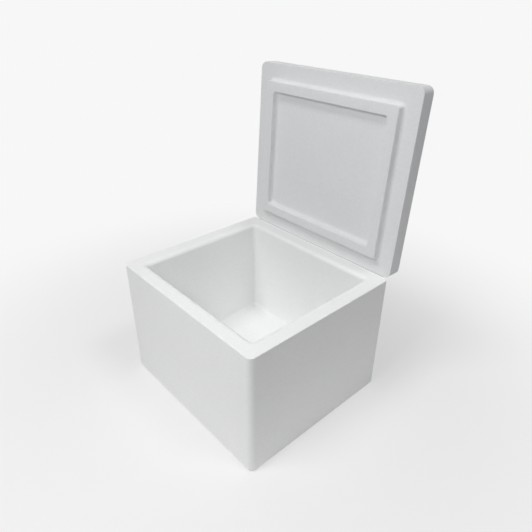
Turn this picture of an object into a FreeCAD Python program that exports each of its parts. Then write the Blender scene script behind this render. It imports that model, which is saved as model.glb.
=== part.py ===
import FreeCAD, Part
import os

import Sketcher

# Polystyrene foam box with a thick lid that swings on a strip of film along the back edge.
# Millimetres and degrees. The origin is the middle of the underside of the box, +Z is up,
# and the front faces -Y. The lid stands open, a few degrees past upright.

SIZES = [
    # the moulded box
    ("box_width", 290),
    ("box_depth", 261),
    ("body_height", 195),
    ("wall_thickness", 24),
    ("floor_thickness", 30),
    ("box_corner_radius", 8),
    ("cavity_corner_radius", 5),
    ("cavity_draft_angle", 1),
    ("cavity_floor_radius", 5),
    ("mouth_edge_radius", 6),
    ("rim_edge_radius", 0.6),
    ("base_edge_radius", 5),
    # the moulded lid, as wide and as deep as the box
    ("lid_thickness", 23),
    ("lid_corner_radius", 10),
    ("lid_top_edge_radius", 2.5),
    ("lid_underside_edge_radius", 0.6),
    ("ring_height", 10),
    ("ring_foot_width", 15.4),
    ("ring_clearance", 0.4),
    ("ring_inside_corner_radius", 4.5),
    ("ring_draft_angle", 1.5),
    ("ring_foot_radius", 4.2),
    ("ring_tip_radius", 1.2),
    ("lid_open_angle", 93.3),
    # the hinge strip of film, folded along the seam
    ("tape_thickness", 0.2),
    ("tape_end_margin", 10),
    ("tape_fold_setback", 5),
    ("tape_width_on_box", 22),
    ("tape_width_on_lid", 13),
]

TOUCH = 0.01  # a face or an edge this close to a height counts as lying at it

os.makedirs("parts", exist_ok=True)
doc = FreeCAD.newDocument("foam_box")
sheet = doc.addObject("Spreadsheet::Sheet", "Sizes")
for row, (alias, number) in enumerate(SIZES, start=1):
    sheet.set("A%d" % row, alias)
    sheet.set("B%d" % row, str(number))
    sheet.setAlias("B%d" % row, alias)
doc.recompute()


def value(expression):
    return float(sheet.evalExpression(expression.replace("Sizes.", "")))


def flat_sketch(body, name, height):
    """A sketch that lies level in its body, at the given height."""
    level = next(plane for plane in body.Origin.OriginFeatures if plane.Role == "XY_Plane")
    sketch = body.newObject("Sketcher::SketchObject", name)
    sketch.AttachmentSupport = [(level, "")]
    sketch.MapMode = "FlatFace"
    sketch.setExpression("AttachmentOffset.Base.z", height)
    return sketch


def rounded_rectangle(sketch, label, width, depth, front, radius):
    """A closed outline with rounded corners, centred on the Y axis, its front edge at y = -front."""
    half = value(width) / 2
    near = -value(front)
    far = near + value(depth)
    r = value(radius)
    # each corner: its place, the directions into the outline, and where the arc starts and ends
    corners = [(half, near, -1, 1), (half, far, -1, -1), (-half, far, 1, -1), (-half, near, 1, 1)]
    arcs = []
    for x, y, into_x, into_y in corners:
        on_level_edge = FreeCAD.Vector(x + into_x * r, y, 0)
        on_side_edge = FreeCAD.Vector(x, y + into_y * r, 0)
        middle = FreeCAD.Vector(x + into_x * r * (1 - 0.5 ** 0.5), y + into_y * r * (1 - 0.5 ** 0.5), 0)
        if into_x * into_y < 0:
            arcs.append((on_level_edge, middle, on_side_edge))
        else:
            arcs.append((on_side_edge, middle, on_level_edge))
    first = sketch.GeometryCount
    for i in range(4):
        sketch.addGeometry(Part.LineSegment(arcs[i - 1][2], arcs[i][0]))
    for start, middle, end in arcs:
        sketch.addGeometry(Part.Arc(start, middle, end))
    front_line, right_line, back_line, left_line = range(first, first + 4)
    for i in range(4):
        line, arc, next_line = first + i, first + 4 + i, first + (i + 1) % 4
        sketch.addConstraint(Sketcher.Constraint("Tangent", line, 2, arc, 1))
        sketch.addConstraint(Sketcher.Constraint("Tangent", arc, 2, next_line, 1))
    for arc in range(first + 5, first + 8):
        sketch.addConstraint(Sketcher.Constraint("Equal", first + 4, arc))
    sketch.addConstraint(Sketcher.Constraint("Symmetric", front_line, 1, front_line, 2, -2))
    sketch.addConstraint(Sketcher.Constraint("Horizontal", back_line))
    sketch.addConstraint(Sketcher.Constraint("Vertical", right_line))
    sketch.addConstraint(Sketcher.Constraint("Vertical", left_line))
    measures = [
        ("width", Sketcher.Constraint("DistanceX", left_line, 1, right_line, 1, 2 * half), width),
        ("depth", Sketcher.Constraint("DistanceY", front_line, 1, back_line, 1, far - near), depth),
        ("front", Sketcher.Constraint("DistanceY", front_line, 1, -1, 1, -near), front),
        ("radius", Sketcher.Constraint("Radius", first + 4, r), radius),
    ]
    for measure, constraint, expression in measures:
        name = "%s_%s" % (label, measure)
        sketch.renameConstraint(sketch.addConstraint(constraint), name)
        sketch.setExpression("Constraints." + name, expression)


def add_feature(body, kind, name, **numbers):
    feature = body.newObject("PartDesign::" + kind, name)
    for prop, expression in numbers.items():
        feature.setExpression(prop, expression)
    return feature


def faces_from(shape, bottom, top):
    """The faces that reach exactly from one height to another, with their names."""
    found = {}
    for number, face in enumerate(shape.Faces, start=1):
        if abs(face.BoundBox.ZMin - bottom) < TOUCH and abs(face.BoundBox.ZMax - top) < TOUCH:
            found["Face%d" % number] = face
    return found


def level_loops(shape, height):
    """The closed loops of the faces that lie level at a height, the widest first."""
    loops = [loop for face in faces_from(shape, height, height).values() for loop in face.Wires]
    return sorted(loops, key=lambda loop: loop.BoundBox.XLength, reverse=True)


def round_loops(body, name, radius, loops):
    """Rounds every edge of the given loops. Each loop is its height and its number, widest first."""
    before = body.Tip
    wanted = []
    for height, number in loops:
        wanted.extend(level_loops(before.Shape, value(height))[number].Edges)
    edges = [
        "Edge%d" % number
        for number, edge in enumerate(before.Shape.Edges, start=1)
        if any(edge.isSame(other) for other in wanted)
    ]
    fillet = add_feature(body, "Fillet", name, Radius=radius)
    fillet.Base = (before, edges)
    doc.recompute()


def draft_walls(body, name, angle, bottom, top, level, inwards):
    """Leans the walls that run between two heights, and keeps their outline at one level."""
    before = body.Tip
    walls = []
    for wall, face in faces_from(before.Shape, value(bottom), value(top)).items():
        if max(-face.BoundBox.XMin, face.BoundBox.XMax) < value("box_width / 2") - TOUCH:
            walls.append(wall)
    draft = add_feature(body, "Draft", name, Angle=angle)
    draft.Base = (before, walls)
    draft.NeutralPlane = (before, [next(iter(faces_from(before.Shape, value(level), value(level))))])
    draft.Reversed = inwards
    doc.recompute()


# The box is one block of bead foam. The cavity widens upwards, so that the moulding slips off its core.
box = doc.addObject("PartDesign::Body", "box_body")

block_plan = flat_sketch(box, "block_plan", "0")
rounded_rectangle(
    block_plan,
    "block",
    "Sizes.box_width",
    "Sizes.box_depth",
    "Sizes.box_depth / 2",
    "Sizes.box_corner_radius",
)
block = add_feature(box, "Pad", "block", Length="Sizes.body_height")
block.Profile = block_plan
doc.recompute()

cavity_plan = flat_sketch(box, "cavity_plan", "Sizes.body_height")
rounded_rectangle(
    cavity_plan,
    "cavity",
    "Sizes.box_width - 2 * Sizes.wall_thickness",
    "Sizes.box_depth - 2 * Sizes.wall_thickness",
    "Sizes.box_depth / 2 - Sizes.wall_thickness",
    "Sizes.cavity_corner_radius",
)
cavity = add_feature(box, "Pocket", "cavity", Length="Sizes.body_height - Sizes.floor_thickness")
cavity.Profile = cavity_plan
doc.recompute()

draft_walls(
    box, "cavity_draft", "Sizes.cavity_draft_angle", "floor_thickness", "body_height", "body_height", False
)
round_loops(box, "base_edge", "Sizes.base_edge_radius", [("0", 0)])
round_loops(box, "rim_edge", "Sizes.rim_edge_radius", [("body_height", 0)])
round_loops(box, "mouth_edge", "Sizes.mouth_edge_radius", [("body_height", 1)])
round_loops(box, "cavity_floor_edge", "Sizes.cavity_floor_radius", [("floor_thickness", 0)])

# The lid is drawn shut, with its back edge along the X axis and its underside at z = 0. The ring that plugs
# the mouth stands down from the underside, inside a flange as wide as the rim of the box.
lid = doc.addObject("PartDesign::Body", "lid")

slab_plan = flat_sketch(lid, "slab_plan", "0")
rounded_rectangle(
    slab_plan, "slab", "Sizes.box_width", "Sizes.box_depth", "Sizes.box_depth", "Sizes.lid_corner_radius"
)
slab = add_feature(lid, "Pad", "slab", Length="Sizes.lid_thickness")
slab.Profile = slab_plan
doc.recompute()

round_loops(lid, "slab_top_edge", "Sizes.lid_top_edge_radius", [("lid_thickness", 0)])
round_loops(lid, "slab_underside_edge", "Sizes.lid_underside_edge_radius", [("0", 0)])

ring_plan = flat_sketch(lid, "ring_plan", "0")
RING_INSET = "Sizes.wall_thickness + Sizes.ring_clearance"
RING_OUTLINES = [
    ("ring_outside", RING_INSET, "Sizes.cavity_corner_radius"),
    ("ring_inside", RING_INSET + " + Sizes.ring_foot_width", "Sizes.ring_inside_corner_radius"),
]
for outline, inset, corner_radius in RING_OUTLINES:
    rounded_rectangle(
        ring_plan,
        outline,
        "Sizes.box_width - 2 * (%s)" % inset,
        "Sizes.box_depth - 2 * (%s)" % inset,
        "Sizes.box_depth - (%s)" % inset,
        corner_radius,
    )
ring = add_feature(lid, "Pad", "ring", Length="Sizes.ring_height")
ring.Profile = ring_plan
ring.Reversed = True
doc.recompute()

draft_walls(lid, "ring_draft", "Sizes.ring_draft_angle", "-ring_height", "0", "0", True)

# The ring blends into the lid at its foot and is rounded at its tip, so that the foam leaves the mould whole.
round_loops(lid, "ring_foot", "Sizes.ring_foot_radius", [("0", 1), ("0", 2)])
round_loops(lid, "ring_tip", "Sizes.ring_tip_radius", [("-ring_height", 0), ("-ring_height", 1)])

lid.setExpression("Placement.Base.y", "Sizes.box_depth / 2")
lid.setExpression("Placement.Base.z", "Sizes.body_height")
lid.Placement.Rotation.Axis = FreeCAD.Vector(-1, 0, 0)
lid.setExpression("Placement.Rotation.Angle", "Sizes.lid_open_angle")
doc.recompute()

# The hinge is one strip of film across the outside of the back seam. It is drawn as its two stuck halves,
# one on the back wall of the box and one on the back edge of the lid, set back from the fold between them.
tape_on_box = doc.addObject("Part::Box", "hinge_tape_box_half")
tape_on_lid = doc.addObject("Part::Box", "hinge_tape_lid_half")
for tape, width in ((tape_on_box, "Sizes.tape_width_on_box"), (tape_on_lid, "Sizes.tape_width_on_lid")):
    tape.setExpression("Length", "Sizes.box_width - 2 * Sizes.tape_end_margin")
    tape.setExpression("Width", "Sizes.tape_thickness")
    tape.setExpression("Height", width)
    tape.setExpression("Placement.Base.x", "Sizes.tape_end_margin - Sizes.box_width / 2")
tape_on_box.setExpression("Placement.Base.y", "Sizes.box_depth / 2")
tape_on_box.setExpression(
    "Placement.Base.z", "Sizes.body_height - Sizes.tape_fold_setback - Sizes.tape_width_on_box"
)
LID_ANGLE = "Sizes.lid_open_angle * 1 deg"
tape_on_lid.setExpression(
    "Placement.Base.y", "Sizes.box_depth / 2 + Sizes.tape_fold_setback * sin(%s)" % LID_ANGLE
)
tape_on_lid.setExpression(
    "Placement.Base.z", "Sizes.body_height + Sizes.tape_fold_setback * cos(%s)" % LID_ANGLE
)
tape_on_lid.Placement.Rotation.Axis = FreeCAD.Vector(-1, 0, 0)
tape_on_lid.setExpression("Placement.Rotation.Angle", "Sizes.lid_open_angle")
doc.recompute()

pieces = {
    "box_body": box,
    "lid": lid,
    "hinge_tape_box_half": tape_on_box,
    "hinge_tape_lid_half": tape_on_lid,
}
for item in doc.Objects:
    if "Invalid" in item.State or "Error" in item.State:
        raise RuntimeError("%s did not recompute: %s" % (item.Name, item.State))
for name, piece in pieces.items():
    piece.Label = name
    if piece.Shape.isNull() or not piece.Shape.isValid() or len(piece.Shape.Solids) != 1:
        raise RuntimeError("%s is not one sound solid" % name)
    piece.Shape.exportStep("parts/%s.step" % name)
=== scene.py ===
import math

import bmesh
import bpy
from mathutils import Matrix, Vector


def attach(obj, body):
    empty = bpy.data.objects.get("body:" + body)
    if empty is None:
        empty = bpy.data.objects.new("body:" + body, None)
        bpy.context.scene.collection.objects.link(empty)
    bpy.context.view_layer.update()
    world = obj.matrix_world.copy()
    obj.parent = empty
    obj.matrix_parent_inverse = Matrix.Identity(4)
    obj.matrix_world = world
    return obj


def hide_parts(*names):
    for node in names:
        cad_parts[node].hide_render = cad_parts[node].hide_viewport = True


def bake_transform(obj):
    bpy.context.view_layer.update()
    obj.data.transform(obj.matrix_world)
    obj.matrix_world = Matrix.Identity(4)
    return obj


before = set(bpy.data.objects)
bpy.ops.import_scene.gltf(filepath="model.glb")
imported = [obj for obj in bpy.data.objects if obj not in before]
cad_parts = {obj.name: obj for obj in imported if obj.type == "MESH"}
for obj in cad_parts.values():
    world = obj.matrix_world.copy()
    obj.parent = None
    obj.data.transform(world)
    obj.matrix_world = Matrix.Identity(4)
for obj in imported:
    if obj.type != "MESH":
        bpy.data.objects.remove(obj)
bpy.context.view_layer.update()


# Camera. It looks down over the right front corner of the box, from about three quarters of a metre
# away, tilted by half a degree.
camera = bpy.data.objects.new("camera", bpy.data.cameras.new("camera"))
bpy.context.scene.collection.objects.link(camera)
bpy.context.scene.camera = camera
camera.data.lens = 32.95
camera.data.sensor_width = 36
camera.matrix_world = (
    Matrix.Translation((0.4644, -0.3988, 0.5596))
    @ Matrix.Rotation(math.radians(47.619), 4, "Z")
    @ Matrix.Rotation(math.radians(59.882), 4, "X")
    @ Matrix.Rotation(math.radians(0.479), 4, "Z")
)


# Box. One block of white polystyrene beads, steamed together in a mould, with thick walls.
# The cavity widens a little upwards, the mouth is well rounded, and the outer rim is the sharp line
# where the two halves of the mould met.
BOX_WIDTH = 0.290
BOX_DEPTH = 0.261
BOX_HEIGHT = 0.195
WALL = 0.024
FLOOR = 0.030
BOX_CORNER_RADIUS = 0.008
CAVITY_CORNER_RADIUS = 0.005
CAVITY_DRAFT = math.tan(math.radians(1))
MOUTH_RADIUS = 0.006
RIM_RADIUS = 0.0006
BASE_RADIUS = 0.005
CAVITY_FLOOR_RADIUS = 0.005

SIDE_STEP = 0.005
RIM_STEP = 0.004
EDGE_STEP = 0.001
CORNER_STEPS = 8
SMALLEST_RADIUS = 0.0004


def rounded_loop(inset, radius, front, back):
    """Points once round the foam's outline, drawn in by an inset, with rounded corners."""
    half = BOX_WIDTH / 2 - inset
    near, far = front + inset, back - inset
    radius = max(radius, SMALLEST_RADIUS)
    turns = (
        (half - radius, near + radius, -90),
        (half - radius, far - radius, 0),
        (radius - half, far - radius, 90),
        (radius - half, near + radius, 180),
    )
    arcs = []
    for x, y, start in turns:
        angles = [math.radians(start + 90 * step / CORNER_STEPS) for step in range(CORNER_STEPS + 1)]
        arcs.append([Vector((x + radius * math.cos(a), y + radius * math.sin(a))) for a in angles])
    points = []
    for number, arc in enumerate(arcs):
        points += arc
        following = arcs[(number + 1) % 4][0]
        cuts = round((BOX_DEPTH if number % 2 == 0 else BOX_WIDTH) / SIDE_STEP)
        points += [arc[-1].lerp(following, cut / cuts) for cut in range(1, cuts)]
    return points


def foam_shell(name, rings, front, back, place):
    """A closed foam moulding from a list of rings, each an inset, a height and a corner radius."""
    mesh = bmesh.new()
    loops = []
    for inset, height, radius in rings:
        outline = rounded_loop(inset, radius, front, back)
        loops.append([mesh.verts.new(place @ Vector((p.x, p.y, height))) for p in outline])
    for lower, upper in zip(loops, loops[1:]):
        for i in range(len(lower)):
            j = (i + 1) % len(lower)
            mesh.faces.new((lower[i], lower[j], upper[j], upper[i]))
    mesh.faces.new(reversed(loops[0]))
    mesh.faces.new(loops[-1])
    bmesh.ops.recalc_face_normals(mesh, faces=mesh.faces)
    for face in mesh.faces:
        face.smooth = True
    piece = bpy.data.objects.new(name, bpy.data.meshes.new(name))
    mesh.to_mesh(piece.data)
    mesh.free()
    bpy.context.scene.collection.objects.link(piece)
    return piece


def arc_rings(inset, height, radius, start, end, steps, corner):
    """Rings round an edge: an arc about a point of the wall's section, from one angle to another."""
    rings = []
    for step in range(steps + 1):
        angle = math.radians(start + (end - start) * step / steps)
        there = inset - radius * math.cos(angle)
        rings.append((there, height + radius * math.sin(angle), corner(there)))
    return rings


def box_corner(inset):
    return BOX_CORNER_RADIUS - inset


def mouth_corner(inset):
    return CAVITY_CORNER_RADIUS + WALL - inset


def wall_rings(start, end, step):
    """Rings up or down a straight wall, close together at its two ends."""
    (inset_a, height_a), (inset_b, height_b) = start, end
    length = math.hypot(inset_b - inset_a, height_b - height_a)
    count = max(2, round((length - 2 * EDGE_STEP) / step))
    shares = [EDGE_STEP / length + (1 - 2 * EDGE_STEP / length) * k / count for k in range(count + 1)]
    return [(inset_a + (inset_b - inset_a) * s, height_a + (height_b - height_a) * s) for s in shares]


lean = math.atan(CAVITY_DRAFT)
mouth_inset = WALL - MOUTH_RADIUS * (1 - math.sin(lean)) / math.cos(lean)
mouth_height = BOX_HEIGHT - MOUTH_RADIUS
floor_wall = WALL + (BOX_HEIGHT - FLOOR) * CAVITY_DRAFT
floor_inset = floor_wall + CAVITY_FLOOR_RADIUS * (1 - math.sin(lean)) / math.cos(lean)
floor_height = FLOOR + CAVITY_FLOOR_RADIUS

base_inset = BASE_RADIUS + 0.0015
box_rings = [(0.030, 0, 0.001), (base_inset, 0, box_corner(base_inset))]
box_rings += arc_rings(BASE_RADIUS, BASE_RADIUS, BASE_RADIUS, -90, 0, 6, box_corner)
for inset, height in wall_rings((0, BASE_RADIUS), (0, BOX_HEIGHT - RIM_RADIUS), SIDE_STEP):
    box_rings.append((inset, height, BOX_CORNER_RADIUS))
box_rings += arc_rings(RIM_RADIUS, BOX_HEIGHT - RIM_RADIUS, RIM_RADIUS, 0, 90, 3, box_corner)
for inset, height in wall_rings((RIM_RADIUS, BOX_HEIGHT), (mouth_inset, BOX_HEIGHT), RIM_STEP):
    share = inset / mouth_inset
    box_rings.append((inset, height, (1 - share) * BOX_CORNER_RADIUS + share * mouth_corner(mouth_inset)))
box_rings += arc_rings(
    mouth_inset, mouth_height, MOUTH_RADIUS, 90, 180 - math.degrees(lean), 8, mouth_corner
)
wall_top = (box_rings[-1][0], box_rings[-1][1])
floor_arc = arc_rings(
    floor_inset, floor_height, CAVITY_FLOOR_RADIUS, -math.degrees(lean), -90, 7, mouth_corner
)
for inset, height in wall_rings(wall_top, floor_arc[0][:2], SIDE_STEP):
    box_rings.append((inset, height, mouth_corner(inset)))
box_rings += floor_arc
box_rings += [(floor_inset + EDGE_STEP, FLOOR, 0.0005), (floor_inset + 0.03, FLOOR, 0.0005)]

box = foam_shell("foam_box", box_rings, -BOX_DEPTH / 2, BOX_DEPTH / 2, Matrix.Identity(4))


def bead_foam_group():
    """The skin of steamed beads: flattened grains with fine grooves between them, each a shade apart."""
    group = bpy.data.node_groups.new("bead foam", "ShaderNodeTree")
    for name, kind, value in (
        ("Place", "NodeSocketVector", None),
        ("Bead Size", "NodeSocketFloat", 0.0032),
        ("Tone Spread", "NodeSocketFloat", 0.02),
        ("Groove Shade", "NodeSocketFloat", 0.04),
    ):
        socket = group.interface.new_socket(name=name, in_out="INPUT", socket_type=kind)
        if value is not None:
            socket.default_value = value
    for name in ("Tone", "Height", "Roughness"):
        group.interface.new_socket(name=name, in_out="OUTPUT", socket_type="NodeSocketFloat")
    nodes, links = group.nodes, group.links
    entry = nodes.new("NodeGroupInput")
    leave = nodes.new("NodeGroupOutput")

    def math_node(operation, a, b=None, clamp=False):
        node = nodes.new("ShaderNodeMath")
        node.operation = operation
        node.use_clamp = clamp
        for socket, value in zip(node.inputs, (a, b)):
            if value is None:
                continue
            if isinstance(value, (int, float)):
                socket.default_value = value
            else:
                links.new(value, socket)
        return node.outputs[0]

    def texture(kind, scale, **settings):
        node = nodes.new(kind)
        for name, value in settings.items():
            if hasattr(node, name):
                setattr(node, name, value)
            else:
                node.inputs[name.replace("_", " ").title()].default_value = value
        links.new(entry.outputs["Place"], node.inputs["Vector"])
        if isinstance(scale, (int, float)):
            node.inputs["Scale"].default_value = scale
        else:
            links.new(scale, node.inputs["Scale"])
        return node

    bead_scale = math_node("DIVIDE", 1, entry.outputs["Bead Size"])
    grains = texture("ShaderNodeTexVoronoi", bead_scale, feature="F1")
    grooves = texture("ShaderNodeTexVoronoi", bead_scale, feature="DISTANCE_TO_EDGE")
    cells = texture("ShaderNodeTexNoise", math_node("MULTIPLY", bead_scale, 7), detail=2)
    clouds = texture("ShaderNodeTexNoise", 22, detail=3)

    one_grain = nodes.new("ShaderNodeSeparateColor")
    links.new(grains.outputs["Color"], one_grain.inputs[0])
    edge = math_node("MULTIPLY", grooves.outputs["Distance"], 9, clamp=True)
    from_middle = grains.outputs["Distance"]
    dome = math_node("SUBTRACT", 1, math_node("MULTIPLY", from_middle, from_middle))

    # tone is 0 in the deepest groove and 1 on the palest grain
    spread = entry.outputs["Tone Spread"]
    grain_tone = math_node("MULTIPLY", math_node("SUBTRACT", one_grain.outputs[0], 0.5), spread)
    cloud_tone = math_node("MULTIPLY", math_node("SUBTRACT", clouds.outputs[0], 0.5), spread)
    # the grooves are painted darker, as painted shade in the creases between beads; the grain and cloud
    # tones are the foam's own random tone
    groove_tone = math_node("MULTIPLY", math_node("SUBTRACT", edge, 1), entry.outputs["Groove Shade"])
    tone = math_node("ADD", math_node("ADD", grain_tone, cloud_tone), groove_tone)
    links.new(math_node("ADD", tone, 1), leave.inputs["Tone"])
    height = math_node("ADD", math_node("MULTIPLY", edge, 0.45), math_node("MULTIPLY", dome, 0.35))
    height = math_node("ADD", height, math_node("MULTIPLY", one_grain.outputs[1], 0.15))
    height = math_node("ADD", height, math_node("MULTIPLY", cells.outputs[0], 0.12))
    links.new(height, leave.inputs["Height"])
    rough = math_node("ADD", math_node("MULTIPLY", one_grain.outputs[2], 0.14), 0.55)
    links.new(rough, leave.inputs["Roughness"])
    return group


bead_foam = bead_foam_group()


def foam_material(name, colour, bead_size, depth):
    """White bead foam: the grain group tints one colour and lifts the surface."""
    material = bpy.data.materials.new(name)
    material.use_nodes = True
    nodes, links = material.node_tree.nodes, material.node_tree.links
    surface = nodes["Principled BSDF"]
    surface.inputs["Specular IOR Level"].default_value = 0.35
    place = nodes.new("ShaderNodeTexCoord")
    grain = nodes.new("ShaderNodeGroup")
    grain.node_tree = bead_foam
    grain.inputs["Bead Size"].default_value = bead_size
    links.new(place.outputs["Object"], grain.inputs["Place"])
    tint = nodes.new("ShaderNodeVectorMath")
    tint.operation = "SCALE"
    tint.inputs[0].default_value = colour
    links.new(grain.outputs["Tone"], tint.inputs["Scale"])
    links.new(tint.outputs[0], surface.inputs["Base Color"])
    links.new(grain.outputs["Roughness"], surface.inputs["Roughness"])
    bump = nodes.new("ShaderNodeBump")
    bump.inputs["Distance"].default_value = depth
    links.new(grain.outputs["Height"], bump.inputs["Height"])
    links.new(bump.outputs[0], surface.inputs["Normal"])
    return material


BOX_WHITE = (0.97, 0.98, 0.975)
BEAD_SIZE = 0.0034
BEAD_DEPTH = 0.0001

box.data.materials.append(foam_material("box foam", BOX_WHITE, BEAD_SIZE, BEAD_DEPTH))
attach(box, "base")
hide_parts("box_body")


# Lid. The second moulding, a slab as wide as the box with a ring on its underside that plugs the mouth.
# The ring leans inwards a little towards its tip and is blended into the slab at its foot. The lid
# stands open, just past upright.
LID_THICKNESS = 0.023
LID_CORNER_RADIUS = 0.010
LID_ANGLE = 93.3
LID_TOP_RADIUS = 0.0025
LID_UNDER_RADIUS = 0.0006
RING_HEIGHT = 0.010
RING_OUTSIDE = WALL + 0.0004
RING_INSIDE = RING_OUTSIDE + 0.0154
RING_INSIDE_CORNER_RADIUS = 0.0045
RING_DRAFT = math.tan(math.radians(1.5))
RING_FOOT_RADIUS = 0.0042
RING_TIP_RADIUS = 0.0012
LID_SEAT_GAP = 0.0001
# the lid is painted greyer than the box, though both are the same white foam: painted shade for the dimmer
# light the lid gets
LID_SHADED_WHITE = (0.87, 0.88, 0.89)

shut_to_open = Matrix.Translation((0, BOX_DEPTH / 2, BOX_HEIGHT)) @ Matrix.Rotation(
    math.radians(-LID_ANGLE), 4, "X"
)
ring_lean = math.atan(RING_DRAFT)
tip_outside = RING_OUTSIDE + RING_HEIGHT * RING_DRAFT
tip_inside = RING_INSIDE - RING_HEIGHT * RING_DRAFT
foot_reach = RING_FOOT_RADIUS * (1 - math.sin(ring_lean)) / math.cos(ring_lean)
tip_reach = RING_TIP_RADIUS * (1 - math.sin(ring_lean)) / math.cos(ring_lean)


def lid_corner(inset):
    return LID_CORNER_RADIUS - inset


def ring_outside_corner(inset):
    return CAVITY_CORNER_RADIUS + RING_OUTSIDE - inset


def ring_inside_corner(inset):
    return RING_INSIDE_CORNER_RADIUS + RING_INSIDE - inset


lean_degrees = math.degrees(ring_lean)
lid_rings = [(RING_INSIDE + 0.030, 0, 0.001), (RING_INSIDE + foot_reach + EDGE_STEP, 0, 0.004)]
lid_rings += arc_rings(
    RING_INSIDE + foot_reach, -RING_FOOT_RADIUS, RING_FOOT_RADIUS, 90, lean_degrees, 6, ring_inside_corner
)
tip_height = RING_TIP_RADIUS - RING_HEIGHT
lid_rings += arc_rings(
    tip_inside - tip_reach, tip_height, -RING_TIP_RADIUS, lean_degrees, 90, 5, ring_inside_corner
)
lid_rings += arc_rings(
    tip_outside + tip_reach, tip_height, RING_TIP_RADIUS, -90, -lean_degrees, 5, ring_outside_corner
)
lid_rings += arc_rings(
    RING_OUTSIDE - foot_reach,
    -RING_FOOT_RADIUS,
    RING_FOOT_RADIUS,
    180 - lean_degrees,
    90,
    6,
    ring_outside_corner,
)
for inset, height in wall_rings((RING_OUTSIDE - foot_reach, 0), (LID_UNDER_RADIUS, 0), SIDE_STEP):
    lid_rings.append((inset, height, LID_CORNER_RADIUS))
lid_rings += arc_rings(LID_UNDER_RADIUS, LID_UNDER_RADIUS, LID_UNDER_RADIUS, -90, 0, 3, lid_corner)
for inset, height in wall_rings((0, LID_UNDER_RADIUS), (0, LID_THICKNESS - LID_TOP_RADIUS), RIM_STEP):
    lid_rings.append((inset, height, LID_CORNER_RADIUS))
lid_rings += arc_rings(
    LID_TOP_RADIUS, LID_THICKNESS - LID_TOP_RADIUS, LID_TOP_RADIUS, 0, 90, 5, lid_corner
)
top_inset = LID_TOP_RADIUS + EDGE_STEP
lid_rings += [(top_inset, LID_THICKNESS, lid_corner(top_inset)), (0.030, LID_THICKNESS, 0.001)]

# the gap keeps the face of the shut lid off the rim
seated = shut_to_open @ Matrix.Translation((0, 0, LID_SEAT_GAP))
lid = foam_shell("foam_lid", lid_rings, -BOX_DEPTH, 0, seated)
lid.data.materials.append(foam_material("lid foam with painted shade", LID_SHADED_WHITE, BEAD_SIZE, BEAD_DEPTH))
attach(lid, "cover")
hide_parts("lid")


# Hinge. One strip of clear film, stuck across the back of the seam, half on the box and half on the
# lid. It folds in the corner between them.
FILM_THICKNESS = 0.0002
FILM_HALF_LENGTH = 0.135
FILM_ON_BOX = 0.027
FILM_ON_LID = 0.018
FOLD_RADIUS = 0.0018
BOX_HALF_STEPS = 8
FOLD_STEPS = 8
LID_HALF_STEPS = 6
FILM_COLUMNS = 136

open_angle = math.radians(LID_ANGLE)
along_lid = Vector((0, math.sin(open_angle), math.cos(open_angle)))
off_lid = Vector((0, math.cos(open_angle), -math.sin(open_angle)))
hinge_line = Vector((0, BOX_DEPTH / 2, BOX_HEIGHT))
off_wall = Vector((0, 1, 0))
up_wall = Vector((0, 0, 1))

film_path = []
for step in range(BOX_HALF_STEPS + 1):
    below = FILM_ON_BOX + (FOLD_RADIUS - FILM_ON_BOX) * step / BOX_HALF_STEPS
    film_path.append((hinge_line - up_wall * below, off_wall))
for step in range(1, FOLD_STEPS):
    share = step / FOLD_STEPS
    on_wall = hinge_line - up_wall * FOLD_RADIUS
    on_lid = hinge_line + along_lid * FOLD_RADIUS
    point = on_wall * (1 - share) ** 2 + hinge_line * 2 * share * (1 - share) + on_lid * share ** 2
    film_path.append((point, off_wall.slerp(off_lid, share)))
for step in range(LID_HALF_STEPS + 1):
    out = FOLD_RADIUS + (FILM_ON_LID - FOLD_RADIUS) * step / LID_HALF_STEPS
    film_path.append((hinge_line + along_lid * out, off_lid))

mesh = bmesh.new()
rows = []
for point, off in film_path:
    row = []
    for column in range(FILM_COLUMNS):
        x = -FILM_HALF_LENGTH + 2 * FILM_HALF_LENGTH * column / (FILM_COLUMNS - 1)
        row.append([mesh.verts.new(point + off * lift + Vector((x, 0, 0))) for lift in (0, FILM_THICKNESS)])
    rows.append(row)
for low, high in zip(rows, rows[1:]):
    for column in range(FILM_COLUMNS - 1):
        a, b, c, d = low[column], low[column + 1], high[column + 1], high[column]
        mesh.faces.new((a[1], b[1], c[1], d[1]))
        mesh.faces.new((a[0], d[0], c[0], b[0]))
for row in (rows[0], rows[-1]):
    for column in range(FILM_COLUMNS - 1):
        mesh.faces.new((row[column][0], row[column + 1][0], row[column + 1][1], row[column][1]))
for column in (0, FILM_COLUMNS - 1):
    for low, high in zip(rows, rows[1:]):
        mesh.faces.new((low[column][0], low[column][1], high[column][1], high[column][0]))
bmesh.ops.recalc_face_normals(mesh, faces=mesh.faces)
film = bpy.data.objects.new("hinge_film", bpy.data.meshes.new("hinge_film"))
mesh.to_mesh(film.data)
mesh.free()
bpy.context.scene.collection.objects.link(film)

film_material = bpy.data.materials.new("hinge film")
film_material.use_nodes = True
film_surface = film_material.node_tree.nodes["Principled BSDF"]
film_surface.inputs["Base Color"].default_value = (0.85, 0.86, 0.85, 1)
film_surface.inputs["Roughness"].default_value = 0.2
film_surface.inputs["Alpha"].default_value = 0.45
film.data.materials.append(film_material)
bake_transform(film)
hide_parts("hinge_tape_box_half", "hinge_tape_lid_half")


# Floor and light. A pale floor that fades into a white surround, two large lamps from high on the
# left and on the right, a small near one, and an even sky.
PALE = 0.92
SURROUND = 0.93
SKY = 0.17
FLOOR_HALF = 4

floor_mesh = bpy.data.meshes.new("floor")
corners = [(x * FLOOR_HALF, y * FLOOR_HALF, 0) for x, y in ((-1, -1), (1, -1), (1, 1), (-1, 1))]
floor_mesh.from_pydata(corners, [], [(0, 1, 2, 3)])
floor = bpy.data.objects.new("floor", floor_mesh)
bpy.context.scene.collection.objects.link(floor)


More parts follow.
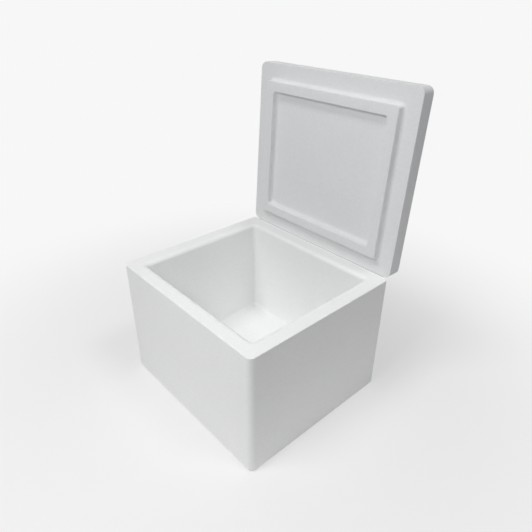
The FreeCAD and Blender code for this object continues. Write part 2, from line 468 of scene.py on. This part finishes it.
def seen_directly(tree):
    """One for rays from the camera, from a mirror-like surface or through a clear one."""
    path = tree.nodes.new("ShaderNodeLightPath")
    total = path.outputs["Is Camera Ray"]
    for name in ("Is Glossy Ray", "Is Transmission Ray"):
        either = tree.nodes.new("ShaderNodeMath")
        either.operation = "MAXIMUM"
        tree.links.new(total, either.inputs[0])
        tree.links.new(path.outputs[name], either.inputs[1])
        total = either.outputs[0]
    return total


def ramp(tree, value, near, far, start, end):
    """A number that goes smoothly from one value to another while an input goes from near to far."""
    node = tree.nodes.new("ShaderNodeMapRange")
    node.interpolation_type = "SMOOTHSTEP"
    for name, number in (("From Min", near), ("From Max", far), ("To Min", start), ("To Max", end)):
        node.inputs[name].default_value = number
    tree.links.new(value, node.inputs["Value"])
    return node.outputs["Result"]


floor_material = bpy.data.materials.new("pale floor")
floor_material.use_nodes = True
floor_tree = floor_material.node_tree
floor_surface = floor_tree.nodes["Principled BSDF"]
floor_surface.inputs["Roughness"].default_value = 0.9
from_box = floor_tree.nodes.new("ShaderNodeTexCoord")
distance = floor_tree.nodes.new("ShaderNodeVectorMath")
distance.operation = "LENGTH"
floor_tree.links.new(from_box.outputs["Object"], distance.inputs[0])
looked_at = seen_directly(floor_tree)
shade = floor_tree.nodes.new("ShaderNodeMix")
shade.inputs[3].default_value = PALE
floor_tree.links.new(looked_at, shade.inputs[0])
floor_tree.links.new(ramp(floor_tree, distance.outputs["Value"], 0.45, 0.8, PALE, 0.3), shade.inputs[2])
floor_tree.links.new(shade.outputs[0], floor_surface.inputs["Base Color"])
surround = floor_tree.nodes.new("ShaderNodeEmission")
surround.inputs["Strength"].default_value = SURROUND
fade = floor_tree.nodes.new("ShaderNodeMath")
fade.operation = "MULTIPLY"
floor_tree.links.new(looked_at, fade.inputs[0])
floor_tree.links.new(ramp(floor_tree, distance.outputs["Value"], 0.15, 0.75, 0.45, 1), fade.inputs[1])
both = floor_tree.nodes.new("ShaderNodeMixShader")
floor_tree.links.new(fade.outputs[0], both.inputs[0])
floor_tree.links.new(floor_surface.outputs[0], both.inputs[1])
floor_tree.links.new(surround.outputs[0], both.inputs[2])
floor_tree.links.new(both.outputs[0], floor_tree.nodes["Material Output"].inputs["Surface"])
floor.data.materials.append(floor_material)

for name, spot, size, watts in (
    ("key lamp", (-0.72, -1.98, 4.12), 1.2, 50),
    ("right lamp", (2.11, 0.77, 4.05), 1.2, 38),
    ("near lamp", (0.15, -0.6, 0.8), 0.25, 2.4),
):
    lamp = bpy.data.objects.new(name, bpy.data.lights.new(name, "AREA"))
    bpy.context.scene.collection.objects.link(lamp)
    lamp.data.shape = "DISK"
    lamp.data.size = size
    lamp.data.energy = watts
    lamp.location = spot
    towards_box = Vector((0, 0, 0.15)) - lamp.location
    lamp.rotation_euler = towards_box.to_track_quat("-Z", "Y").to_euler()

world = bpy.data.worlds.new("studio")
bpy.context.scene.world = world
world.use_nodes = True
sky = world.node_tree.nodes["Background"]
sky.inputs["Color"].default_value = (1, 1, 1, 1)
world.node_tree.links.new(
    ramp(world.node_tree, seen_directly(world.node_tree), 0, 1, SKY, SURROUND), sky.inputs["Strength"]
)

bpy.context.scene.view_settings.view_transform = "Standard"
